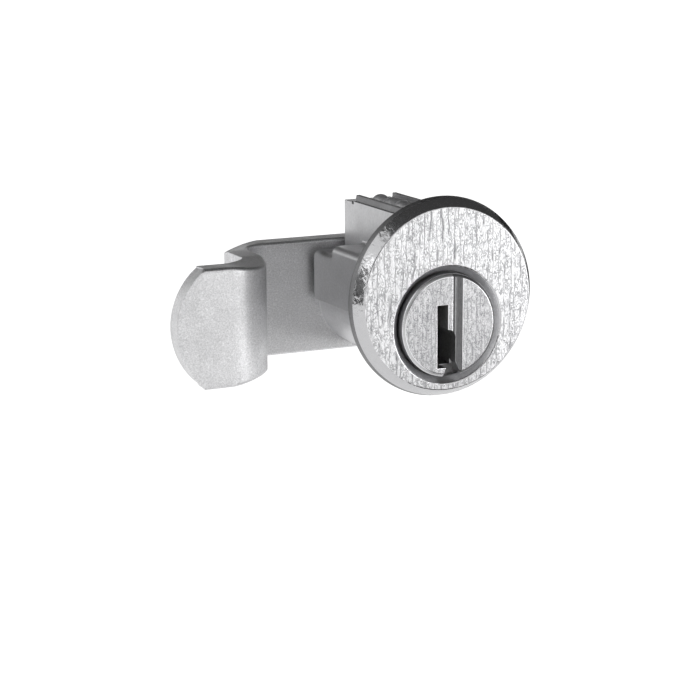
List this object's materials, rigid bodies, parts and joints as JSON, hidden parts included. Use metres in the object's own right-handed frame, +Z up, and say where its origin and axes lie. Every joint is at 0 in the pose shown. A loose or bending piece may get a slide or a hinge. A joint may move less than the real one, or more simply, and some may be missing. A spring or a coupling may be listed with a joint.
{
  "type": "mailbox lock",
  "caption": "Round-headed pin tumbler lock for a mailbox door, with a keyed plug that swings a formed hook cam a quarter turn behind the door frame.",
  "frame": {"origin": "on the plug's turning axis, in the plane of the seat behind the head", "axes": "+Y along the plug's axis into the box, +X to the right seen from outside, +Z up"},
  "size_m": [0.0391, 0.0295, 0.0221],
  "materials": {
    "bright_zinc": "bright plated die-cast zinc, face brushed up and down",
    "plug_zinc": "bright plated die-cast zinc, finely brushed face",
    "plated_steel": "matte zinc plated steel",
    "spring_steel": "plain steel",
    "pin_brass": "plain brass"
  },
  "bodies": {
    "body": {"lock_body": "bright_zinc", "spring_cover": "spring_steel", "pin_spring_1": "spring_steel", "pin_spring_2": "spring_steel", "pin_spring_3": "spring_steel", "pin_spring_4": "spring_steel", "pin_spring_5": "spring_steel"},
    "plug": {"plug": "plug_zinc", "stop_washer": "plated_steel", "hook_cam": "plated_steel", "lock_washer": "plated_steel", "cam_nut": "plated_steel"},
    "key_pin_1": {"key_pin_1": "pin_brass"},
    "key_pin_2": {"key_pin_2": "pin_brass"},
    "key_pin_3": {"key_pin_3": "pin_brass"},
    "key_pin_4": {"key_pin_4": "pin_brass"},
    "key_pin_5": {"key_pin_5": "pin_brass"},
    "driver_pin_1": {"driver_pin_1": "pin_brass"},
    "driver_pin_2": {"driver_pin_2": "pin_brass"},
    "driver_pin_3": {"driver_pin_3": "pin_brass"},
    "driver_pin_4": {"driver_pin_4": "pin_brass"},
    "driver_pin_5": {"driver_pin_5": "pin_brass"}
  },
  "joints": [
    {"name": "plug_turn", "type": "hinge", "parent": "body", "child": "plug", "pos_m": [0, 0, 0], "axis": [0, 1, 0], "range_deg": [0, 90]},
    {"name": "key_pin_1_slide", "type": "slide", "parent": "plug", "child": "key_pin_1", "axis": [0, 0, 1], "range_m": [-0.0004, 0]},
    {"name": "key_pin_2_slide", "type": "slide", "parent": "plug", "child": "key_pin_2", "axis": [0, 0, 1], "range_m": [-0.0014, 0]},
    {"name": "key_pin_3_slide", "type": "slide", "parent": "plug", "child": "key_pin_3", "axis": [0, 0, 1], "range_m": [-0.0009, 0]},
    {"name": "key_pin_4_slide", "type": "slide", "parent": "plug", "child": "key_pin_4", "axis": [0, 0, 1], "range_m": [-0.0019, 0]},
    {"name": "key_pin_5_slide", "type": "slide", "parent": "plug", "child": "key_pin_5", "axis": [0, 0, 1], "range_m": [-0.0011, 0]},
    {"name": "driver_pin_1_slide", "type": "slide", "parent": "body", "child": "driver_pin_1", "axis": [0, 0, 1], "range_m": [0, 0.0012], "stiffness_N_per_m": 60, "springref_m": -0.004, "deforming": ["pin_spring_1"]},
    {"name": "driver_pin_2_slide", "type": "slide", "parent": "body", "child": "driver_pin_2", "axis": [0, 0, 1], "range_m": [0, 0.0012], "stiffness_N_per_m": 60, "springref_m": -0.004, "deforming": ["pin_spring_2"]},
    {"name": "driver_pin_3_slide", "type": "slide", "parent": "body", "child": "driver_pin_3", "axis": [0, 0, 1], "range_m": [0, 0.0012], "stiffness_N_per_m": 60, "springref_m": -0.004, "deforming": ["pin_spring_3"]},
    {"name": "driver_pin_4_slide", "type": "slide", "parent": "body", "child": "driver_pin_4", "axis": [0, 0, 1], "range_m": [0, 0.0012], "stiffness_N_per_m": 60, "springref_m": -0.004, "deforming": ["pin_spring_4"]},
    {"name": "driver_pin_5_slide", "type": "slide", "parent": "body", "child": "driver_pin_5", "axis": [0, 0, 1], "range_m": [0, 0.0012], "stiffness_N_per_m": 60, "springref_m": -0.004, "deforming": ["pin_spring_5"]}
  ]
}
